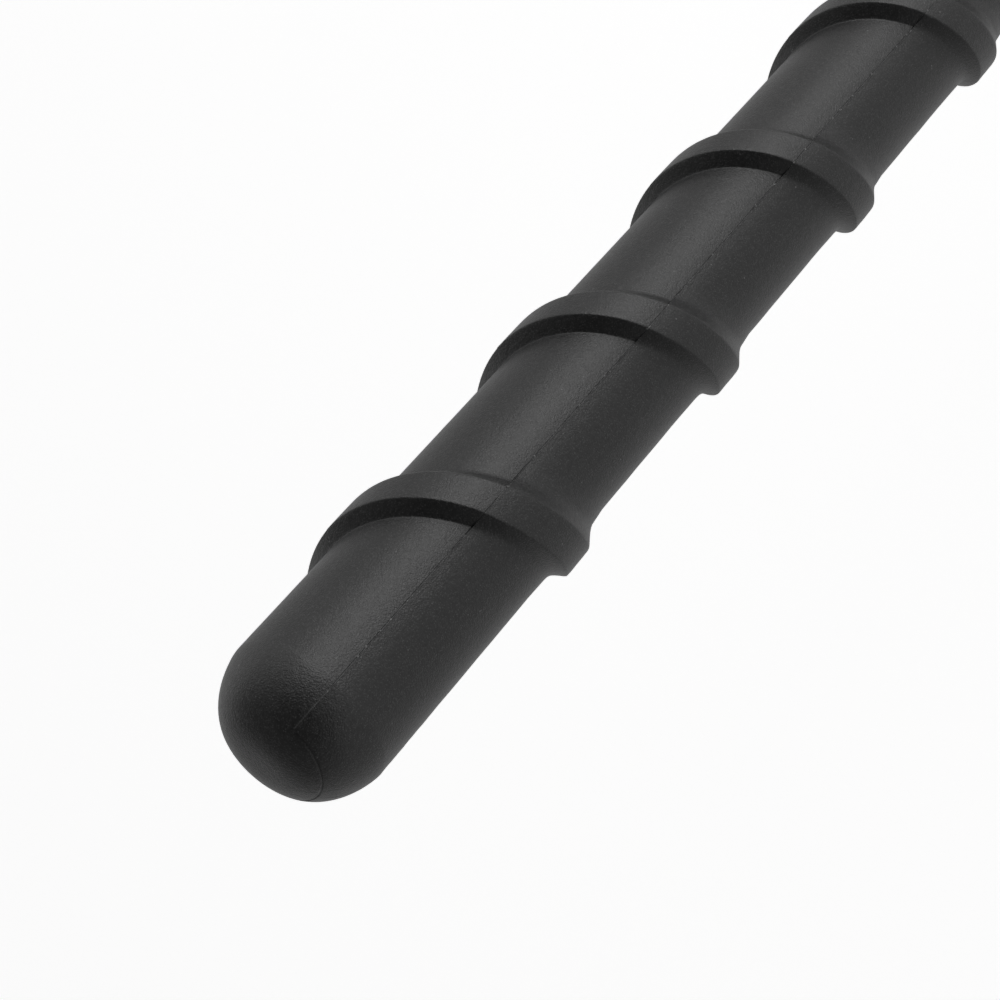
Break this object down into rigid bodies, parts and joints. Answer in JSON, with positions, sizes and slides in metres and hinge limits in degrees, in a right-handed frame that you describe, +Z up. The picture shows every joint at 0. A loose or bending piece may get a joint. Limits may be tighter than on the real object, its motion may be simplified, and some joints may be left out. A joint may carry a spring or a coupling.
{
  "type": "roof antenna",
  "caption": "Vehicle roof antenna: black rubber mast with a helical rib, on a folding foot with a cover, seal, hollow neck, claw washer and nut.",
  "frame": {"origin": "centre of the cable neck, in the plane of the seal's underside, where the foot meets the roof", "axes": "+Z up out of the roof, +X to the front of the vehicle, +Y to its left; the mast leans back towards -X"},
  "size_m": [0.1555, 0.0378, 0.2106],
  "materials": {
    "mast_rubber": "matt moulded rubber with a fine spark-eroded grain",
    "seal_rubber": "smooth soft rubber",
    "cover_plastic": "black moulded plastic with a fine grain",
    "bracket_plastic": "dark grey glass-filled plastic",
    "sleeve_plastic": "thin shrunk tube",
    "painted_zinc": "black powder-coated die casting",
    "cast_zinc": "bare zinc die casting, dull grey",
    "plated_steel": "bright zinc-plated steel",
    "yellow_steel": "yellow-passivated spring steel",
    "nickel_brass": "nickel-plated turned brass",
    "copper_wire": "enamelled copper wire",
    "spring_bronze": "bright bronze strip",
    "glass_fibre": "pultruded glass fibre",
    "circuit_board": "green solder mask",
    "chip_black": "moulded black electronic parts",
    "tinned_steel": "tinned sheet steel"
  },
  "bodies": {
    "foot": {"friction_washer_left": "yellow_steel", "friction_washer_right": "yellow_steel", "pivot_screw": "plated_steel", "pivot_nut": "plated_steel", "hinge_bracket": "bracket_plastic", "bracket_screws": "plated_steel", "base_plate": "cast_zinc", "foot_cover": "cover_plastic", "cover_screws": "plated_steel", "roof_seal": "seal_rubber", "claw_washer": "yellow_steel", "roof_nut": "plated_steel", "cable_grommet": "seal_rubber", "amplifier_board": "circuit_board", "board_screws": "plated_steel", "shield_can": "tinned_steel", "board_parts": "chip_black", "contact_spring": "spring_bronze"},
    "knuckle": {"knuckle": "painted_zinc"},
    "mast": {"mast_jacket": "mast_rubber", "core_rod": "glass_fibre", "radiator_wire": "copper_wire", "winding_sleeve": "sleeve_plastic", "mast_ferrule": "nickel_brass", "seat_gasket": "seal_rubber"}
  },
  "joints": [
    {"name": "mast_fold", "type": "hinge", "parent": "foot", "child": "knuckle", "pos_m": [-0.012, 0, 0.0145], "axis": [0, -1, 0], "range_deg": [0, 55]},
    {"name": "mast_turn", "type": "hinge", "parent": "knuckle", "child": "mast", "pos_m": [-0.012, 0, 0.0145], "axis": [-0.5, 0, 0.866], "range_deg": [0, 3150]}
  ]
}
